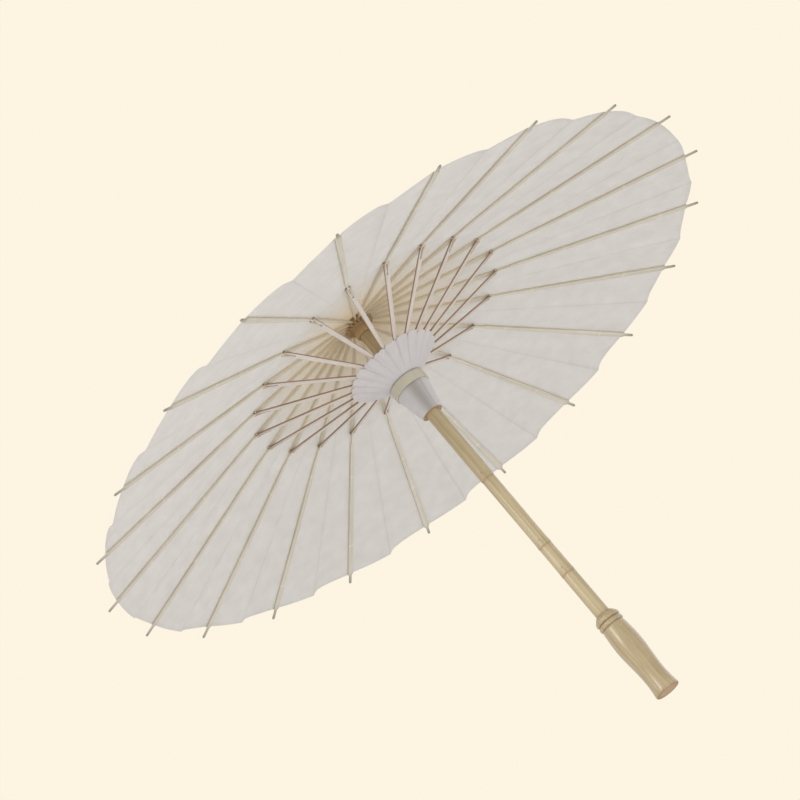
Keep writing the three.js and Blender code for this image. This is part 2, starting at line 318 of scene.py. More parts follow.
def cotton(name, pale, deep):
    """Twisted thread: a fine diagonal twill."""
    graph = Graph(name, 0.85, Sheen_Weight=0.2, Sheen_Roughness=0.5)
    even = graph.place("Object", (1.0, 1.0, 1.0))
    wave = graph.add("TexWave", {"Vector": even, "Scale": 900.0, "Distortion": 1.5, "Detail": 1.0},
        bands_direction="DIAGONAL",
    )
    fuzz = graph.noise(even, 2500.0, 2.0)
    colour = graph.ramp(wave.outputs["Fac"], [(0.1, deep), (0.8, pale)])
    return graph.finish(colour, graph.sum(wave.outputs["Fac"], fuzz, 0.5), 0.5, 0.0001)


def steel(name):
    """Drawn spring steel with fine lines along it."""
    graph = Graph(name, 0.35, Metallic=1.0)
    lines = graph.noise(graph.place("Object", (4000.0, 4000.0, 60.0)), detail=2.0)
    colour = graph.ramp(lines, [(0.3, srgb(140, 138, 134)), (0.7, srgb(186, 184, 180))])
    return graph.finish(colour, lines, 0.2, 0.00005, graph.grey(lines, 0.3, 0.7, 0.28, 0.46))


# The ribs' third colour, taken towards the root, is golden and paler than their face: painted
# light that lifts the shade among the ribs near the hub.
RIB_FACE = bamboo(
    "rib_face", "UV", "X", srgb(221, 213, 196), srgb(204, 195, 175), srgb(242, 229, 200), 0.62
)
RIB_EDGE = bamboo(
    "rib_edge", "UV", "X", srgb(216, 208, 187), srgb(199, 189, 166), srgb(238, 223, 192), 0.65
)
STRETCHER_FACE = bamboo(
    "stretcher_face", "UV", "X", srgb(224, 215, 207), srgb(203, 191, 178), srgb(190, 168, 140), 0.6
)
STRETCHER_EDGE = bamboo(
    "stretcher_edge", "UV", "X", srgb(182, 155, 129), srgb(153, 127, 103), srgb(128, 103, 82), 0.65
)
STRIP_END = end_grain("strip_end", srgb(164, 146, 126), srgb(104, 88, 76))
SHAFT_SKIN = bamboo(
    "shaft_skin", "Object", "Z", srgb(202, 184, 145), srgb(178, 158, 115), srgb(140, 106, 62),
    roughness=0.42, fibre=0.9, coat=0.35, relief=0.15,
)
HANDLE_SKIN = bamboo(
    "handle_skin", "Object", "Z", srgb(192, 172, 134), srgb(168, 147, 103), srgb(118, 92, 62),
    roughness=0.42, fibre=0.6, coat=0.6, relief=0.1,
)
HANDLE_END = end_grain("handle_end", srgb(182, 150, 114), srgb(128, 96, 68))
HUB_WOOD = bamboo(
    "hub_wood", "Object", "Z", srgb(214, 182, 132), srgb(188, 154, 104), srgb(142, 112, 76), 0.6
)
CANOPY_PAPER = paper(
    "canopy_paper", "UV", srgb(238, 235, 230), srgb(230, 227, 221), translucent=0.5
)
COLLAR_PAPER = paper("collar_paper", "UV", srgb(237, 233, 232), srgb(228, 223, 222), 0.35)
CAP_PAPER = paper("cap_paper", "UV", srgb(232, 228, 222), srgb(218, 213, 206), 0.0)
SLEEVE_PAPER = paper("sleeve_paper", "Object", srgb(216, 213, 211), srgb(200, 196, 194))
BAND_PAPER = paper("band_paper", "Object", srgb(210, 204, 182), srgb(195, 189, 168))
THREAD = cotton("cotton_thread", srgb(222, 214, 198), srgb(180, 170, 150))
STEEL = steel("spring_steel")


# ---- meshes ----
def put(name, data):
    made = bpy.data.objects.new(name, data)
    bpy.context.scene.collection.objects.link(made)
    return made


def piece(
    name, points, faces, materials, slots=None, uvs=None, tones=None, smooth=40, weather=None
):
    """A mesh object from millimetre points; uvs, tones and weather are given per point."""
    mesh = bpy.data.meshes.new(name)
    points = np.asarray(points, float)
    mesh.from_pydata((points * MM).tolist(), [], [list(face) for face in faces])
    for material in materials:
        mesh.materials.append(material)
    if slots is not None:
        mesh.polygons.foreach_set("material_index", list(slots))
    corners = np.zeros(len(mesh.loops), np.int32)
    mesh.loops.foreach_get("vertex_index", corners)
    if uvs is not None:
        layer = mesh.uv_layers.new(name="UVMap")
        layer.data.foreach_set("uv", np.asarray(uvs, float)[corners].astype(np.float32).ravel())
    for label, given in (("tone", tones), ("weather", weather)):
        values = np.zeros(len(points)) if given is None else np.asarray(given, float)
        layer = mesh.attributes.new(label, "FLOAT", "POINT")
        layer.data.foreach_set("value", values.astype(np.float32))
    mesh.polygons.foreach_set("use_smooth", [True] * len(mesh.polygons))
    mesh.set_sharp_from_angle(angle=radians(smooth))
    return put(name, mesh)


def grid_faces(rows, columns, closed=False, flip=False):
    """Quads between rows of points; closed joins the last column to the first."""
    faces = []
    for start in range(0, (rows - 1) * columns, columns):
        for column in range(columns if closed else columns - 1):
            a, b = start + column, start + (column + 1) % columns
            quad = [a, b, b + columns, a + columns]
            faces.append(quad[::-1] if flip else quad)
    return faces


def soften(profile, rounds=2, share=0.25):
    """Cuts the corners of an open profile; its two ends stay."""
    points = [tuple(point) for point in profile]
    for _ in range(rounds):
        cut = [points[0]]
        for first, second in zip(points, points[1:]):
            for part in (share, 1 - share):
                cut.append(tuple(a + (b - a) * part for a, b in zip(first, second)))
        cut.append(points[-1])
        points = cut
    return points


def turned(name, profile, segments, materials, slots=None, shape=None, tone=None, smooth=40):
    """A closed solid turned from [radius, z]: the profile runs up the outside, and either starts
    and ends on the axis or comes back down inside. slots gives each profile edge's material."""
    on_axis = profile[0][0] < 1e-6 and profile[-1][0] < 1e-6
    rings = profile[1:-1] if on_axis else list(profile)
    points, tones = [], []
    for radius, z in rings:
        for step in range(segments):
            angle = 2 * pi * step / segments
            wide, high = (radius, z) if shape is None else shape(radius, z, angle)
            points.append((wide * cos(angle), wide * sin(angle), high))
            tones.append(0.0 if tone is None else tone(radius, z, angle))
    faces = grid_faces(len(rings), segments, closed=True)
    marks = [0] * len(faces)
    if slots is not None:
        first = 1 if on_axis else 0
        for ring in range(len(rings) - 1):
            marks[ring * segments : (ring + 1) * segments] = [slots[ring + first]] * segments
    if on_axis:
        low, high = len(points), len(points) + 1
        points += [(0, 0, profile[0][1]), (0, 0, profile[-1][1])]
        tones += [tones[0], tones[-1]]
        top = (len(rings) - 1) * segments
        for step in range(segments):
            beside = (step + 1) % segments
            faces.append([low, beside, step])
            faces.append([high, top + step, top + beside])
            marks += [slots[0] if slots else 0, slots[-1] if slots else 0]
    else:
        last = (len(rings) - 1) * segments
        for step in range(segments):
            beside = (step + 1) % segments
            faces.append([last + step, last + beside, beside, step])
            marks.append(slots[-1] if slots else 0)
    return piece(name, points, faces, materials, marks, None, tones, smooth)


def box_points(size, centre, azimuth):
    """Eight corners of a box that is turned about +Z, and its faces."""
    corners = []
    for share in itertools.product((-0.5, 0.5), repeat=3):
        a, b, height = (middle + part * side for middle, part, side in zip(centre, share, size))
        x = a * cos(azimuth) - b * sin(azimuth)
        y = a * sin(azimuth) + b * cos(azimuth)
        corners.append((x, y, height))
    faces = [(0, 1, 3, 2), (4, 6, 7, 5), (0, 4, 5, 1), (2, 3, 7, 6), (0, 2, 6, 4), (1, 5, 7, 3)]
    return corners, faces


def cut(target, boxes):
    """Takes boxes out of a piece, for good."""
    points, faces = [], []
    for corners, sides in boxes:
        faces += [[index + len(points) for index in side] for side in sides]
        points += corners
    cutter = piece("cutter", points, faces, [])
    modifier = target.modifiers.new("cut", "BOOLEAN")
    modifier.operation = "DIFFERENCE"
    modifier.solver = "EXACT"
    modifier.object = cutter
    graph = bpy.context.evaluated_depsgraph_get()
    made = bpy.data.meshes.new_from_object(target.evaluated_get(graph))
    target.modifiers.clear()
    old, target.data = target.data, made
    bpy.data.meshes.remove(old)
    bpy.data.meshes.remove(cutter.data)
    target.data.set_sharp_from_angle(angle=radians(40))


def thicken(target, thickness):
    """Gives a sheet its thickness, whatever shape it folds into. Its border is marked sharp, so
    that the shading of the sheet doesn't turn over the rim."""
    mesh = target.data
    corners = np.zeros(len(mesh.loops), np.int32)
    mesh.loops.foreach_get("edge_index", corners)
    faces_on_edge = np.bincount(corners, minlength=len(mesh.edges))
    for edge in np.flatnonzero(faces_on_edge == 1):
        mesh.edges[int(edge)].use_edge_sharp = True
    modifier = target.modifiers.new("thickness", "SOLIDIFY")
    modifier.thickness = thickness * MM
    modifier.offset = 0.0
    modifier.use_even_offset = False


def area_of(points, faces):
    """Area of quads, in square metres."""
    points = np.asarray(points, float) * MM
    quads = np.asarray(faces)
    a, b, c, d = (points[quads[:, k]] for k in range(4))
    half = np.linalg.norm(np.cross(b - a, c - a), axis=1)
    other = np.linalg.norm(np.cross(c - a, d - a), axis=1)
    return float((half + other).sum() / 2)


def hill(x, centre, width):
    """1 at the centre, and down to nothing on both sides of it."""
    return exp(-(((x - centre) / width) ** 2))


def stands_for(made, body, node):
    """The piece rides on a body and replaces a CAD node."""
    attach(made, body)
    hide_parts(node)


# ---- axes of a rib and of a stretcher ----
def azimuth_of(index):
    return FIRST_AZIMUTH + index * PITCH


def spoke_points(azimuth, radius, sideways, height):
    radius, sideways, height = np.broadcast_arrays(radius, sideways, height)
    return np.stack(
        [
            radius * cos(azimuth) - sideways * sin(azimuth),
            radius * sin(azimuth) + sideways * cos(azimuth), height,
        ],
        axis=-1,
    )


def rib_profile(along, above):
    """(radius, height) of a point along the rib, above the line through its pivots."""
    along, above = np.broadcast_arrays(np.asarray(along, float), np.asarray(above, float))
    beyond = np.maximum(along - LINK, 0)
    bent = along > LINK
    out = np.where(bent, LINK + beyond * cos(BEND) + above * sin(BEND), along)
    up = np.where(bent, above * cos(BEND) - beyond * sin(BEND), above)
    radius = HINGE_R + out * cos(OPEN_SLOPE) + up * sin(OPEN_SLOPE)
    height = HINGE_Z - out * sin(OPEN_SLOPE) + up * cos(OPEN_SLOPE)
    return radius, height


def on_rib(index, along, sideways, above):
    radius, height = rib_profile(along, above)
    return spoke_points(azimuth_of(index), radius, sideways, height)


def on_stretcher(index, along, sideways, above):
    radius = RUNNER_R + along * cos(OPEN_SLOPE) - above * sin(OPEN_SLOPE)
    height = RUNNER_Z + along * sin(OPEN_SLOPE) + above * cos(OPEN_SLOPE)
    return spoke_points(azimuth_of(index), radius, sideways, height)


# ---- split bamboo strips ----
def wander(rng, count, reach):
    """A smooth random line through count stations."""
    phases = [(rng.uniform(0, 2 * pi), rng.uniform(0.03, 0.16)) for _ in range(4)]

    def value(x):
        return reach * sum(np.sin(x * rate + phase) for phase, rate in phases) / count

    return value


def strip(name, stations, place, corner, materials, index, fork=None):
    """A bar of rounded rectangular section. Each station is (along, half width, top, bottom,
    tone, weather); fork is (crotch, half slot) where the outer end splits in two."""
    across = []
    for x, half, top, bottom, tone, weather in stations:
        round_ = min(corner, half * 0.45, (top - bottom) * 0.4)
        bevel = round_ * (1 - sqrt(0.5))
        inner = min(fork[1], half - round_ - 0.05) if fork else (half - round_) * 0.4
        right = [
            (inner, bottom), (half - round_, bottom), (half - bevel, bottom + bevel),
            (half, bottom + round_), (half, top - round_), (half - bevel, top - bevel),
            (half - round_, top), (inner, top),
        ]
        left = [(-y, z) for y, z in right[::-1]]
        across.append([(x, y, z, tone, weather) for y, z in right + left])
    count = len(across[0])
    points = np.array([point for ring in across for point in ring])
    edges = {2, 3, 4, 10, 11, 12}
    faces, slots = [], []
    for row, station in enumerate(stations[:-1]):
        split = fork is not None and station[0] >= fork[0] - 1e-6
        for k in range(count):
            after = (k + 1) % count
            if split and k in (7, 15):
                after = 0 if k == 7 else 8
            a, b = row * count + k, row * count + after
            faces.append([a, a + count, b + count, b])
            slots.append(1 if k in edges else 0)
        if split and not stations[row - 1][0] >= fork[0] - 1e-6:
            start = row * count
            faces.append([start + 15, start, start + 7, start + 8][::-1])
            slots.append(0)
    last = (len(stations) - 1) * count
    faces.append(list(range(count)))
    slots.append(2)
    if fork is None:
        faces.append([last + k for k in range(count)][::-1])
        slots.append(2)
    else:
        faces.append([last + k for k in range(8)][::-1])
        faces.append([last + k for k in range(8, 16)][::-1])
        slots += [2, 2]
    world = place(index, points[:, 0], points[:, 1], points[:, 2])
    uvs = np.stack([points[:, 0] * MM + 0.7 * index, (points[:, 1] + points[:, 2]) * MM], axis=1)
    return piece(name, world, faces, materials, slots, uvs, points[:, 3], 50, points[:, 4])


def between(x, table):
    """Straight-line value of a table of (x, value)."""
    return float(np.interp(x, [row[0] for row in table], [row[1] for row in table]))


def eye(x, centre, radius, away):
    """Half thickness of a round end: away is +1 if the end lies beyond the centre."""
    return sqrt(max(radius**2 - max((x - centre) * away, 0) ** 2, 0.02))


ROOT_EYE_R = 1.5  # round root of a strip, inside a slot of the notch or runner
NECK = (LINK - 5.5, LINK + 11)  # waist of the rib inside the stretcher's fork
PAPER_EDGE = LINK + (CANOPY_R - PIVOT_R) / cos(OUTER_SLOPE)


def make_rib(index):
    rng = random.Random(100 + index)
    width = [
        (0, 0.7), (8, 0.7), (NECK[0] - 2.2, 1.55), (NECK[0], 0.6), (NECK[1], 0.6),
        (NECK[1] + 3, 1.35), (LINK + 60, 1.75), (TIP - 40, 2.4), (PAPER_EDGE - 1.2, 2.6),
        (PAPER_EDGE + 0.3, 1.2), (TIP - 0.7, 1.1), (TIP, 0.7),
    ]
    foot = [
        (0, -1.5), (4, -1.1), (LINK - 6, -0.8), (LINK - 1.5, -1.1), (LINK + 1.5, -1.1),
        (LINK + 5, -0.25), (LINK + 70, -0.4), (PAPER_EDGE, -0.05), (TIP, 0.1),
    ]
    # Towards the root the rib takes its golden third colour, paler than its face: the tint is the
    # bamboo's, the paleness is painted light near the hub.
    root_tint_and_light = [(0, 0.75), (30, 0.5), (LINK - 10, 0.28), (LINK + 20, 0.1), (LINK + 50, 0.0)]
    knots = [rng.uniform(LINK + 30, LINK + 75), rng.uniform(LINK + 100, TIP - 30)]
    stops = [-1.45, -1.2, -0.7, 0, 1.5, 3, 5, 8]
    stops += list(np.arange(14, NECK[0] - 3, 6.0))
    stops += [NECK[0] - 2.2, NECK[0] - 1.4, NECK[0] - 0.6, NECK[0], LINK - 3]
    stops += [LINK - 1.5, LINK, LINK + 1.5, LINK + 5, NECK[1], NECK[1] + 1.2, NECK[1] + 3]
    stops += list(np.arange(NECK[1] + 8, PAPER_EDGE - 3, 5.0))
    stops += [PAPER_EDGE - 1.2, PAPER_EDGE - 0.5, PAPER_EDGE + 0.3, TIP - 4, TIP - 0.7, TIP]
    for knot in knots:
        stops += [knot - 2, knot - 0.8, knot, knot + 0.8, knot + 2]
    sway, swell = wander(rng, 4, 0.09), wander(rng, 4, 0.08)
    stations = []
    for x in sorted(stops):
        calm = 1.0 if NECK[1] + 4 < x < PAPER_EDGE - 3 or 12 < x < NECK[0] - 4 else 0.0
        knob = sum(hill(x, knot, 1.1) for knot in knots)
        half = between(max(x, 0), width) + calm * float(sway(x)) + 0.12 * knob
        top, bottom = RIB_TOP, between(max(x, 0), foot) - calm * abs(float(swell(x)))
        bottom -= 0.22 * knob
        if x < 3:
            top = min(top, eye(x, 0, ROOT_EYE_R, -1))
            bottom = max(bottom, -eye(x, 0, ROOT_EYE_R, -1))
        if x > PAPER_EDGE:
            top = RIB_TOP - 0.2
        tone = between(max(x, 0), root_tint_and_light) + 0.35 * knob
        grey = between(x, [(PAPER_EDGE - 3, 0), (PAPER_EDGE + 1, 0.45), (TIP - 3, 0.75), (TIP, 1)])
        stations.append((x, half, top, bottom, min(tone, 1.0), grey))
    name = f"rib_strip_{index + 1:02d}"
    made = strip(name, stations, on_rib, 0.22, [RIB_FACE, RIB_EDGE, STRIP_END], index)
    stands_for(made, f"rib_{index + 1:02d}", f"rib_{index + 1:02d}")


def make_stretcher(index):
    rng = random.Random(300 + index)
    crotch, half_slot, end_radius = LINK - 12, 0.72, 1.35
    width = [(0, 0.7), (8, 0.7), (22, 1.35), (40, 1.82)]
    width += [(crotch, 2.1), (LINK, 2.2), (LINK + 2, 2.05)]
    thick = [(0, ROOT_EYE_R), (4, 0.8), (LINK - 5, 0.8), (LINK - 2.2, 1.0)]
    thick += [(LINK - 0.6, 1.32), (LINK, end_radius)]
    stops = [-1.45, -1.2, -0.7, 0, 1.2, 2.5, 4, 8]
    stops += list(np.arange(14, crotch - 1, 5.0))
    stops += [crotch, crotch + 3, LINK - 5, LINK - 3.4, LINK - 2.2, LINK - 1.2, LINK - 0.6, LINK]
    stops += [LINK + 0.5, LINK + 0.9, LINK + 1.15, LINK + 1.3]
    sway, swell = wander(rng, 4, 0.08), wander(rng, 4, 0.05)
    stations = []
    for x in sorted(stops):
        calm = 1.0 if 12 < x < crotch - 2 else 0.0
        half = between(max(x, 0), width) + calm * float(sway(x))
        deep = between(max(x, 0), thick) + calm * float(swell(x))
        if x < 0:
            deep = eye(x, 0, ROOT_EYE_R, -1)
        if x > LINK:
            deep = eye(x, LINK, end_radius, 1)
        tone = between(x, [(0, 0.7), (35, 0.25), (60, 0.05), (LINK - 8, 0.05), (LINK + 1, 0.9)])
        stations.append((x, half, deep, -deep, tone, 0.0))
    name = f"stretcher_strip_{index + 1:02d}"
    materials = [STRETCHER_FACE, STRETCHER_EDGE, STRIP_END]
    made = strip(name, stations, on_stretcher, 0.2, materials, index, (crotch, half_slot))
    stands_for(made, f"stretcher_{index + 1:02d}", f"stretcher_{index + 1:02d}")


def make_tie(index):
    """The knotted thread through the fork and the rib's neck."""
    rng = random.Random(500 + index)
    outline = [(0.3, -2.26), (0.6, -2.32), (0.75, -2.55), (0.65, -2.82), (0.35, -3.0)]
    rings = [(r, y) for r, y in outline[::-1]] + [(r, -y) for r, y in outline]
    sides = 12
    points = []
    for radius, y in rings:
        for step in range(sides):
            angle = 2 * pi * step / sides
            lump = 1 + (0.12 * sin(3 * angle + 5 * y + index) if abs(y) > 2 else 0)
            wide = radius * lump * rng.uniform(0.97, 1.03)
            points.append((LINK + wide * cos(angle), y, wide * sin(angle)))
    faces = grid_faces(len(rings), sides, closed=True)
    faces.append(list(range(sides))[::-1])
    faces.append([(len(rings) - 1) * sides + step for step in range(sides)])
    local = np.array(points)
    name = f"pivot_tie_{index + 1:02d}"
    world = on_rib(index, LINK, local[:, 1], local[:, 2])
    offset = local[:, 0] - LINK
    azimuth = azimuth_of(index)
    along = np.array(
        [cos(azimuth) * cos(OPEN_SLOPE), sin(azimuth) * cos(OPEN_SLOPE), -sin(OPEN_SLOPE)]
    )
    made = piece(name, world + offset[:, None] * along, faces, [THREAD], smooth=60)
    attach(made, f"rib_{index + 1:02d}")


for number in range(RIB_COUNT):
    make_rib(number)
    make_stretcher(number)
    make_tie(number)


# ---- canopy ----
STATIONS = 58
RADII = np.linspace(CANOPY_HOLE_R, CANOPY_R, STATIONS)
ACROSS = np.array([0, 0.14, 0.3, 0.46, 0.6, 0.72, 0.82, 0.9, 0.95, 1.0])


def along_for(radius):
    """Place along the rib where the middle of the paper has this radius."""
    inner = (radius - HINGE_R - PAPER_HEIGHT * sin(OPEN_SLOPE)) / cos(OPEN_SLOPE)
    outer = LINK + (radius - PIVOT_R - PAPER_HEIGHT * sin(OUTER_SLOPE)) / cos(OUTER_SLOPE)
    return np.where(outer > LINK, outer, np.minimum(inner, LINK))


ALONG = along_for(RADII)
STRIP_EDGE = STRIP_HALF_WIDTH + np.maximum(ALONG - LINK, 0) * sin(BEND) * tan(FOLD_LEAN)
# CREASE_TONE paints shade along the crease between two ribs; RIM_TONE makes the rim a little
# darker.
CREASE_TONE, RIM_TONE = 0.04, 0.06
GLUE_STAIN_AND_LIGHT = 0.7 * np.clip((115 - RADII) / 90, 0, 1) ** 1.3  # paste yellows the paper near the hub and, being paler than it, also paints light there
RIM_SHARE = np.clip((RADII - 60) / (CANOPY_R - 60), 0, 1) ** 2.2


def crease_line(gore):
    """The fold between two ribs: its points, shared by the pleats on both sides of it."""
    rng = random.Random(700 + gore)
    dip = 3.1 * rng.uniform(0.6, 1.4)
    radius, height = rib_profile(ALONG, PAPER_HEIGHT)
    chord = cos(PITCH / 2)
    radius = radius * (chord + (1 - chord) * RIM_SHARE)
    height = height - 0.35 - dip * RIM_SHARE
    azimuth = azimuth_of(gore) + PITCH / 2
    return spoke_points(azimuth, radius, 0, height)


def canopy_piece(name, points, faces, tones):
    """Canopy paper, a little darker at the rim, and yellowed by the paste near the hub in a colour
    paler than the paper: painted light there as well.
    """
    tones[-1, :] = RIM_TONE
    stain_and_light = np.repeat(GLUE_STAIN_AND_LIGHT, tones.shape[1])
    uvs = points[:, :2] * MM
    return piece(name, points, faces, [CANOPY_PAPER], None, uvs, tones.ravel(), weather=stain_and_light)


def make_pleat(index, side):
    """The half gore beside a rib: side is +1 towards the next rib and -1 towards the last."""
    gore = index if side > 0 else (index - 1) % RIB_COUNT
    rng = random.Random(900 + 2 * index + (side > 0))
    start = on_rib(index, ALONG, side * STRIP_EDGE, PAPER_HEIGHT)
    crease = crease_line(gore)
    rise = 1.4 * rng.uniform(0.55, 1.45)
    if side > 0:
        shares, heights = [0, 0.2, 0.45, 0.65, 0.82, 0.92, 1], [0, 0.75, 1.35, 1.7, 1.6, 1.0, 0]
    else:
        shares, heights = [0, 0.3, 0.6, 0.85, 1], [0, -0.12, -0.15, -0.08, 0]
    hump = np.interp(ACROSS, shares, heights)
    waves = [(rng.uniform(0, 6.3), rng.uniform(0.6, 2.2), rng.uniform(2, 7)) for _ in range(3)]
    points = np.zeros((STATIONS, len(ACROSS), 3))
    for column, share in enumerate(ACROSS):
        line = start + (crease - start) * share
        radial = line[:, :2] / np.linalg.norm(line[:, :2], axis=1)[:, None]
        bulge = 0.8 * sin(pi * share) * RIM_SHARE
        line[:, :2] += radial * bulge[:, None]
        line[:, 2] += rise * hump[column] * RIM_SHARE
        bell = sin(pi * share)
        for phase, rate, turns in waves:
            ripple = np.sin(phase + turns * RADII / 100 + rate * share * 3)
            line[:, 2] += 0.09 * bell * ripple * np.clip(RADII / 150, 0.2, 1)
        points[:, column] = line
    flat = points.reshape(-1, 3)
    faces = grid_faces(STATIONS, len(ACROSS), flip=side < 0)
    tones = np.zeros((STATIONS, len(ACROSS)))
    tones[:, -1] = CREASE_TONE
    name = f"canopy_pleat_{index + 1:02d}{'b' if side > 0 else 'a'}"
    made = canopy_piece(name, flat, faces, tones)
    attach(made, f"rib_{index + 1:02d}")
    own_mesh(made)
    thicken(made, PAPER_THICKNESS)
    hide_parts("canopy_paper")
    area_of(flat, faces)


def make_band_on_rib(index):
    """The line of paper that is glued flat along a rib."""
    shares = np.array([-1, -0.5, 0, 0.5, 1])
    columns = [on_rib(index, ALONG, share * STRIP_EDGE, PAPER_HEIGHT) for share in shares]
    points = np.stack(columns, axis=1).reshape(-1, 3)
    faces = grid_faces(STATIONS, len(shares))
    tones = np.zeros((STATIONS, len(shares)))
    made = canopy_piece(f"canopy_band_{index + 1:02d}", points, faces, tones)
    thicken(made, PAPER_THICKNESS)
    stands_for(made, f"rib_{index + 1:02d}", "canopy_paper")


for number in range(RIB_COUNT):
    make_band_on_rib(number)
    make_pleat(number, 1)
    make_pleat(number, -1)


# ---- paper ruff under the stretchers ----
RUFF_ROWS = 16
RUFF_SHARES = np.linspace(0, 1, 13)
RUFF_FOOT_R, RUFF_FOOT_Z = 14.9, BAND_HIGH + 0.3


def make_ruff(index):
    """One lobe, from a stretcher to the next."""
    rng = random.Random(1300 + index)
    reach = 4.4 * rng.uniform(0.8, 1.2)
    belly = 1.3 * rng.uniform(0.8, 1.2)
    lean = rng.uniform(-0.06, 0.06)
    rows = np.linspace(0, 1, RUFF_ROWS)
    points = np.zeros((RUFF_ROWS, len(RUFF_SHARES), 3))
    for column, share in enumerate(RUFF_SHARES):
        bell = sin(pi * share) ** 0.55
        sag = sin(pi * share) ** 1.7
        edge_r = 37.6 + reach * bell
        under = RUNNER_Z + (edge_r - RUNNER_R) * tan(OPEN_SLOPE) - 1.25
        radius = RUFF_FOOT_R + (edge_r - RUFF_FOOT_R) * rows
        pleat = 0.35 * sin(5 * pi * share) * sin(pi * share)
        height = RUFF_FOOT_Z + (under - RUFF_FOOT_Z) * rows
        height = height - (belly * sag + pleat) * rows**1.2 + 1.2 * np.sin(pi * rows) * 0.6
        azimuth = azimuth_of(index) + PITCH * (share + lean * bell)
        points[:, column] = spoke_points(azimuth, radius, 0, height)
    flat = points.reshape(-1, 3)
    faces = grid_faces(RUFF_ROWS, len(RUFF_SHARES), flip=False)
    tones = np.zeros((RUFF_ROWS, len(RUFF_SHARES)))
    # Painted shade in the creases between lobes, and darker along the foot where the ruff meets
    # the band.
    tones[:, [0, -1]] = 0.03
    tones[0, :] = 0.3
    uvs = np.stack([flat[:, 0] + flat[:, 1], flat[:, 1] + flat[:, 2]], axis=1) * MM
    name = f"ruff_lobe_{index + 1:02d}"
    made = piece(name, flat, faces, [COLLAR_PAPER], uvs=uvs, tones=tones.ravel())
    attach(made, "runner")
    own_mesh(made)
    thicken(made, RUFF_THICKNESS)
    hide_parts("paper_collar")
    size = area_of(flat, faces)


for number in range(RIB_COUNT):
    make_ruff(number)


# ---- shaft and handle ----
SHAFT_NODES = (224.0, 151.0, 122.0)
BUD_ANGLE = 4.4  # where the dark spot of a bud sits above each node
CATCH_AZIMUTH = pi / 2


def shaft_radius(z):
    base = between(
        z, [(38, 6.0), (80, 6.05), (115, 5.95), (160, 5.7), (222, 5.7), (227, 6.1), (421, 6.0)]
    )
    for node in SHAFT_NODES:
        base += 0.22 * hill(z, node, 1.8)
        base -= 0.12 * hill(z, node - 2.1, 0.7)
    return base


def shaft_tone(radius, z, angle):
    # Painted shade: the shaft darkens towards the top, under the notch and the ribs; the rest
    # marks its nodes and buds.
    tone = 0.12 * between(z, [(340, 0), (395, 1)]) + 0.25 * between(z, [(372, 0), (392, 1)])
    for node in SHAFT_NODES:
        tone += 0.4 * hill(z, node - 1.9, 0.8)
        tone += 0.14 * hill(z, node, 4)
        tone += 0.6 * hill(z, node + 4, 1.1) * hill(angle, BUD_ANGLE, 0.14)
    return min(tone, 1.0)


def shaft_shape(radius, z, angle):
    oval = 0.05 * cos(2 * angle + 0.4) + 0.03 * sin(3 * angle + z / 40)
    return radius + (oval if 80 < z < 290 else 0.3 * oval), z


def make_shaft():
    levels = list(np.arange(SHAFT_LOW, SHAFT_HIGH, 4.0))
    for node in SHAFT_NODES:
        levels += list(np.arange(node - 5, node + 6, 0.4))
    levels = sorted(set(round(level, 3) for level in levels)) + [SHAFT_HIGH - 0.4, SHAFT_HIGH]
    profile = [(0, SHAFT_LOW)]
    profile += [(shaft_radius(z) - (0.4 if z == levels[-1] else 0), z) for z in levels]
    profile += [(0, SHAFT_HIGH)]
    made = turned(
        "shaft_pole", profile, 72, [SHAFT_SKIN], shape=shaft_shape, tone=shaft_tone, smooth=30
    )
    slot = box_points((6.6, 2.4, 41), (4.7, 0, 277.5), CATCH_AZIMUTH)
    cut(made, [slot])
    stands_for(made, "shaft", "shaft")


HANDLE_SIDE = [
    (10.15, 0.0), (10.6, 0.5), (10.65, 1.6), (10.3, 4), (9.75, 9), (9.45, 15), (9.6, 22),
    (10.3, 31), (11.05, 40), (11.25, 47), (11.0, 54), (10.35, 61), (10.1, 64.6), (9.45, 65.6),
    (9.45, 66.1), (10.4, 66.8), (10.75, 68.1), (10.45, 69.4), (9.5, 70.0), (9.5, 70.5),
    (10.35, 71.1), (10.75, 72.4), (10.3, 74.2), (8.4, 76.4), (7.3, 77.4), (6.9, HANDLE_TOP),
]
GROOVES = (65.85, 70.25)


def handle_tone(radius, z, angle):
    if radius < BORE_R + 0.2 and z > 10:
        return 0.6
    tone = sum(0.8 * hill(z, groove, 0.45) for groove in GROOVES)
    tone += 0.4 * hill(z, 0, 0.7) * (radius > 9)
    tone += 0.25 * hill(z, 76.5, 1.5)
    return min(tone, 1.0)


def make_handle():
    side = soften(HANDLE_SIDE, 2)
    profile = [(0, 0.12), (6.0, 0.1)] + side
    profile += [(BORE_R, HANDLE_TOP), (BORE_R, SHAFT_LOW - 0.3), (0, SHAFT_LOW - 0.3)]
    slots = [1, 1] + [0] * (len(profile) - 3)
    made = turned(
        "handle_grip", profile, 96, [HANDLE_SKIN, HANDLE_END], slots, tone=handle_tone, smooth=50
    )
    stands_for(made, "shaft", "handle")


make_shaft()
make_handle()


# ---- notch, runner and head ----
SLOT_WIDTH = 1.9


def hinge_slots(low, high):
    return [
        box_points((8, SLOT_WIDTH, high - low), (8.1 + 4, 0, (low + high) / 2), azimuth_of(k))
        for k in range(RIB_COUNT)
    ]


def ring_profile(outside, inner_radius):
    """A bored solid: up the outside, then back down the bore."""
    return outside + [(inner_radius, outside[-1][1]), (inner_radius, outside[0][1])]


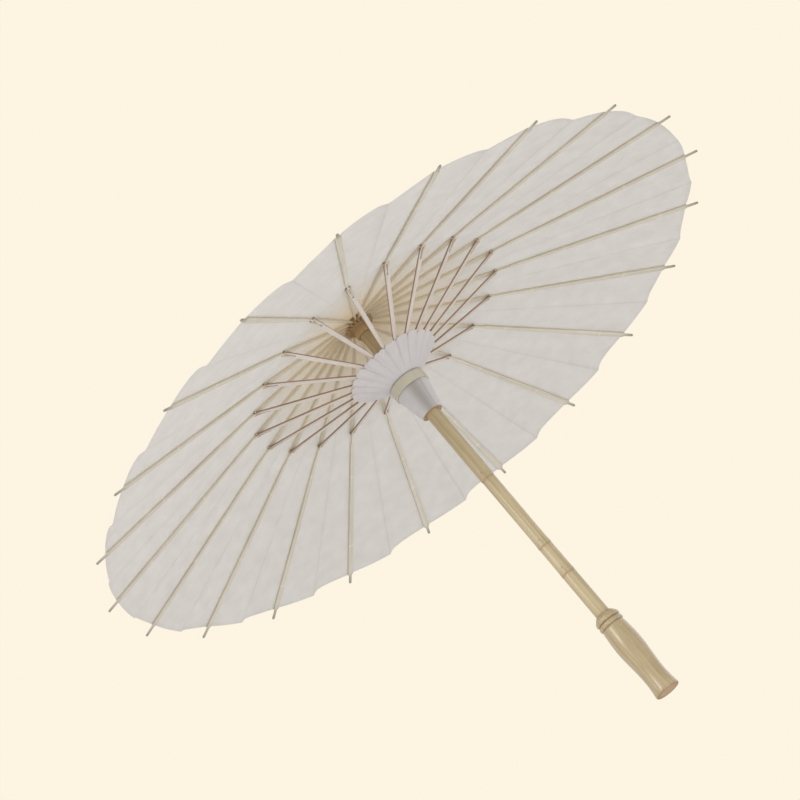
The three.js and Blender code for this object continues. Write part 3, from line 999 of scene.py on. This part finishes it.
def make_notch():
    foot, wheel_foot, wheel_top = HINGE_Z - 12, HINGE_Z - 4, HINGE_Z + 3.5
    outside = [
        (7.5, foot), (7.9, foot + 0.4), (7.9, wheel_foot - 0.5), (8.3, wheel_foot),
        (12.6, wheel_foot), (13, wheel_foot + 0.4), (13, wheel_top - 0.9), (12.1, wheel_top),
    ]

    def tone(radius, z, angle):
        # Painted shade: the notch darkens upwards and most at its neck under the wheel, where the
        # ribs shade it.
        return 0.75 if radius < 8.6 and z > foot + 4 else 0.35 if z > foot + 2 else 0.15

    made = turned("notch_wheel", ring_profile(outside, BORE_R), 126, [HUB_WOOD], tone=tone)
    cut(made, hinge_slots(wheel_foot - 0.3, wheel_top + 1))
    stands_for(made, "shaft", "top_notch")


def make_runner_core():
    wheel_foot, wheel_top = RUNNER_Z - 3.5, RUNNER_Z + 4
    outside = [
        (8.6, RUNNER_FOOT), (8.9, RUNNER_FOOT + 0.3), (14.4, BAND_LOW), (14.4, BAND_HIGH - 1),
        (12, BAND_HIGH), (8.2, BAND_HIGH + 1.8), (7.9, BAND_HIGH + 2.3), (7.9, wheel_foot - 0.4),
        (8.3, wheel_foot), (12.6, wheel_foot), (13, wheel_foot + 0.4), (13, wheel_top - 0.4),
        (12.6, wheel_top),
    ]

    def tone(radius, z, angle):
        # Painted shade: the foot of the runner is darker, for the shadow where it meets the shaft.
        return 0.6 if z < RUNNER_FOOT + 2 else 0.25

    made = turned("runner_core", ring_profile(outside, BORE_R), 126, [HUB_WOOD], tone=tone)
    cut(made, hinge_slots(wheel_foot - 0.3, wheel_top + 1))
    stands_for(made, "runner", "runner_hub")


SEAM_AZIMUTH = radians(-32)


def from_seam(angle):
    """Angle from the glued seam of the sleeve and band, between -pi and pi."""
    return (angle - SEAM_AZIMUTH + pi) % (2 * pi) - pi


def wrapped(lift, width, ripple):
    """Makes a turned paper piece overlap itself at the seam and stay a little uneven."""

    def shape(radius, z, angle):
        turn = from_seam(angle)
        over = lift * np.clip((turn + width) / 0.02, 0, 1) * (0 if turn > 0 else 1)
        uneven = ripple * (sin(3 * angle + z / 7) + 0.6 * sin(7 * angle - z / 4))
        return radius + float(over) + uneven, z

    return shape


def make_sleeve():
    rows = 14
    low, high = (9.55, RUNNER_FOOT + 0.05), (15.15, BAND_LOW - 0.35)
    outer = [
        (low[0] + (high[0] - low[0]) * k / rows, low[1] + (high[1] - low[1]) * k / rows)
        for k in range(rows + 1)
    ]
    inner = [(radius - 0.42, z) for radius, z in outer[::-1]]

    def tone(radius, z, angle):
        turn = from_seam(angle)
        # Painted shade: a broad grey zone beside the seam stands for the sleeve's shaded side, and
        # the top darkens under the band; the thin line is the edge of the glued flap.
        seam_and_shade = 0.75 * hill(turn, -0.95, 0.5) + 0.3 * hill(turn, -0.42, 0.05)
        return min(seam_and_shade + 0.2 * hill(z, high[1], 1), 1.0)

    made = turned(
        "runner_sleeve_wrap", outer + inner, 180, [SLEEVE_PAPER], shape=wrapped(0.22, 0.42, 0.05),
        tone=tone,
    )
    stands_for(made, "runner", "runner_sleeve")


def make_band():
    outside = soften(
        [
            (BAND_R - 1.4, BAND_LOW), (BAND_R - 0.3, BAND_LOW), (BAND_R, BAND_LOW + 0.4),
            (BAND_R - 0.05, (BAND_LOW + BAND_HIGH) / 2), (BAND_R - 0.05, BAND_HIGH - 0.5),
            (BAND_R - 0.4, BAND_HIGH), (BAND_R - 1.4, BAND_HIGH),
        ],
        2,
    )

    def tone(radius, z, angle):
        # Painted shade along both edges of the band, where it meets the sleeve and the ruff; the
        # line at the seam is the seam's own.
        edge = hill(z, BAND_LOW, 0.5) + hill(z, BAND_HIGH, 0.5)
        return min(0.15 * edge + 0.4 * hill(from_seam(angle), 0, 0.03), 1.0)

    made = turned(
        "runner_band_wrap", outside, 180, [BAND_PAPER], shape=wrapped(0.12, 0.5, 0.03), tone=tone,
    )
    stands_for(made, "runner", "runner_band")


def make_ring_thread(name, node, height, body, radius=10.0, tube=0.4, plies=2):
    """A twisted thread strung through every strip, straight between them."""
    steps = RIB_COUNT * 14
    sides = 10
    points = []
    for step in range(steps):
        share = step / steps * RIB_COUNT
        k = int(share)
        a, b = azimuth_of(k), azimuth_of(k + 1)
        part = share - k
        x = radius * ((1 - part) * cos(a) + part * cos(b))
        y = radius * ((1 - part) * sin(a) + part * sin(b))
        outward = Vector((x, y, 0)).normalized()
        twist = step * 2 * pi / 14
        for side in range(sides):
            angle = 2 * pi * side / sides
            swell = tube * (0.86 + 0.14 * cos(plies * angle + twist))
            point = Vector((x, y, height)) + outward * (swell * cos(angle))
            points.append((point.x, point.y, point.z + swell * sin(angle)))
    faces = grid_faces(steps, sides, closed=True, flip=True)
    last = (steps - 1) * sides
    for side in range(sides):
        beside = (side + 1) % sides
        faces.append([side, beside, last + beside, last + side])
    made = piece(name, points, faces, [THREAD], smooth=70)
    stands_for(made, body, node)


FINIAL_GROOVE = 420.1


def make_finial():
    side = soften(
        [
            (7.6, FINIAL_LOW), (8, FINIAL_LOW + 0.4), (8, 413.6), (8.5, 415.2), (8.6, 416.6),
            (8.1, 418.4), (7.35, 419.9), (7.35, 420.4), (7.8, 422), (8.0, 425), (7.9, 428),
            (7.3, 431), (5.6, 433.3), (2.6, 434.3), (0, FINIAL_HIGH),
        ],
        2,
    )
    profile = [(0, SHAFT_HIGH + 0.3), (BORE_R, SHAFT_HIGH + 0.3), (BORE_R, FINIAL_LOW)] + side

    def tone(radius, z, angle):
        return 0.8 * hill(z, FINIAL_GROOVE, 0.5) + (0.4 if radius < BORE_R + 0.1 else 0)

    made = turned("finial_knob", profile, 84, [HANDLE_SKIN], tone=tone, smooth=50)
    stands_for(made, "shaft", "finial")


def make_cap():
    """The paper cap over the rib roots: gathered at its neck by a thread, pleated below it."""
    outline = soften(
        [
            (8.75, CAP_HIGH + 2.2), (8.7, CAP_HIGH), (8.65, 410.6), (8.6, 410.0), (8.7, 409.2),
            (9.3, 406.4), (11.5, 404.2), (14.4, 402.6), (CAP_R - 0.3, CAP_LOW + 0.3),
        ],
        2,
    )
    columns = RIB_COUNT * 8
    points, tones = [], []
    for row, (radius, z) in enumerate(outline):
        share = row / (len(outline) - 1)
        loose = abs(z - 410) / 10
        for column in range(columns):
            angle = 2 * pi * column / columns
            fold = cos(RIB_COUNT * angle + 0.5 * sin(angle * 2))
            deep = 0.22 + 0.3 * loose if z > 410 else 0.12 + 0.75 * share**2
            wide = radius + deep * fold + (deep if z > 410 else 0)
            edge = 0.3 * sin(5 * angle + 1) * (1 if row == 0 else 0)
            points.append((wide * cos(angle), wide * sin(angle), z + edge))
            # Painted shade in the valleys of the pleats.
            tones.append(0.12 * (1 - fold))
    faces = grid_faces(len(outline), columns, closed=True)
    flat = np.array(points)
    uvs = np.stack([flat[:, 0] + flat[:, 2], flat[:, 1] + flat[:, 2]], axis=1) * MM
    made = piece("head_cap_paper", flat, faces, [CAP_PAPER], uvs=uvs, tones=tones)
    thicken(made, CAP_THICKNESS)
    stands_for(made, "shaft", "head_cap")


def make_cap_thread():
    """Four turns of thread round the neck of the cap."""
    turns, sides = 4, 8
    steps = turns * 64
    points = []
    for step in range(steps + 1):
        angle = 2 * pi * step / 64
        z = 409.0 + 0.62 * step / 64
        for side in range(sides):
            around = 2 * pi * side / sides
            wide = 9.55 + 0.34 * cos(around)
            points.append((wide * cos(angle), wide * sin(angle), z + 0.34 * sin(around)))
    faces = grid_faces(steps + 1, sides, closed=True, flip=True)
    faces.append(list(range(sides)))
    faces.append([steps * sides + side for side in range(sides)][::-1])
    made = piece("cap_thread_winding", points, faces, [THREAD], smooth=70)
    stands_for(made, "shaft", "cap_thread")


make_notch()
make_runner_core()
make_sleeve()
make_band()
make_ring_thread("notch_thread_twist", "notch_thread", HINGE_Z, "shaft")
make_ring_thread("runner_thread_twist", "runner_thread", RUNNER_Z, "runner")
make_finial()
make_cap()
make_cap_thread()

catch = frame["nodes"]["latch_catch"]
catch.data.materials.clear()
catch.data.materials.append(STEEL)
edge = catch.modifiers.new("edge", "BEVEL")
edge.width = 0.15 * MM
edge.segments = 2


# ---- stage, light and camera ----
BACKDROP = srgb(253, 244, 226)
AMBIENT = 0.77
FLOOR_Z, FLOOR_REACH = -0.0015, 6.0
CAMERA_PLACE = (-0.1779, -1.8064, -0.4292)
CAMERA_LENS = 109.72
RIGHT = Vector((0.783926, 0.176282, -0.595302))
UP = Vector((0.615177, -0.349931, 0.706475))
BACK = RIGHT.cross(UP).normalized()
LAMP_TARGET = Vector((0, 0, 0.3))


def make_floor():
    """A pale floor that is seen from above only, so a view from below looks past it."""
    mesh = bpy.data.meshes.new("floor")
    corners = [(x * FLOOR_REACH, y * FLOOR_REACH) for x, y in ((-1, -1), (1, -1), (1, 1), (-1, 1))]
    mesh.from_pydata([(x, y, FLOOR_Z) for x, y in corners], [], [(0, 1, 2, 3)])
    floor = put("floor", mesh)
    graph = Graph("floor", 0.9)
    graph.shader.inputs["Base Color"].default_value = srgb(238, 230, 214)
    geometry = graph.add("NewGeometry")
    position = {0: geometry.outputs["Position"]}
    apart = graph.add("VectorMath", position, operation="LENGTH")
    far = graph.grey(apart.outputs["Value"], 0.5, 1.6)
    glow = graph.add("Emission", {"Color": BACKDROP})
    seen = graph.blend(far, graph.shader.outputs[0], glow.outputs[0])
    clear = graph.add("BsdfTransparent").outputs[0]
    graph.surface(graph.blend(geometry.outputs["Backfacing"], seen, clear))
    mesh.materials.append(graph.material)
    for ray in ("diffuse", "glossy", "transmission", "shadow"):
        setattr(floor, f"visible_{ray}", False)
    floor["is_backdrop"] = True


def make_world():
    """Plain cream to the camera, soft near-white light to the object."""
    world = bpy.data.worlds.new("studio")
    world.use_nodes = True
    bpy.context.scene.world = world
    nodes, links = world.node_tree.nodes, world.node_tree.links
    nodes.clear()
    output = nodes.new("ShaderNodeOutputWorld")
    seen, lit = nodes.new("ShaderNodeBackground"), nodes.new("ShaderNodeBackground")
    seen.inputs["Color"].default_value = BACKDROP
    lit.inputs["Color"].default_value = (0.98, 0.98, 1.0, 1.0)
    lit.inputs["Strength"].default_value = AMBIENT
    blended, path = nodes.new("ShaderNodeMixShader"), nodes.new("ShaderNodeLightPath")
    links.new(path.outputs["Is Camera Ray"], blended.inputs[0])
    links.new(lit.outputs[0], blended.inputs[1])
    links.new(seen.outputs[0], blended.inputs[2])
    links.new(blended.outputs[0], output.inputs["Surface"])


def area_light(name, place, size, watts):
    """A soft box that looks at the middle of the parasol."""
    light = bpy.data.lights.new(name, "AREA")
    light.shape = "DISK"
    light.size = size
    light.energy = watts
    lamp = put(name, light)
    lamp.location = LAMP_TARGET + Vector(place)
    lamp.rotation_mode = "QUATERNION"
    lamp.rotation_quaternion = (-Vector(place)).to_track_quat("-Z", "Y")
    lamp.visible_camera = False


def make_camera():
    """The photograph's view, fitted to the rib tips, the pivots, the hub and the handle."""
    camera = put("camera", bpy.data.cameras.new("camera"))
    turn = Matrix((RIGHT, UP, BACK)).transposed().to_4x4()
    camera.matrix_world = Matrix.Translation(CAMERA_PLACE) @ turn
    camera.data.lens = CAMERA_LENS
    camera.data.sensor_width = 36
    camera.data.clip_start = 0.05
    camera.data.clip_end = 50
    bpy.context.scene.camera = camera


make_floor()
make_world()
make_camera()
area_light("key", -1.5 * RIGHT + 0.25 * UP + 1.2 * BACK, 0.6, 11)
area_light("fill", 0.9 * RIGHT - 0.6 * UP + 1.3 * BACK, 1.6, 7)
area_light("top", (0.5, -0.4, 2.0), 1.6, 5)
area_light("rim", (1.4, 1.3, 0.5), 1.6, 5)
bpy.context.scene.view_settings.view_transform = "Standard"

size_of_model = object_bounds()
[[list(corner) for corner in size] for size in (size_of_frame, size_of_model)]
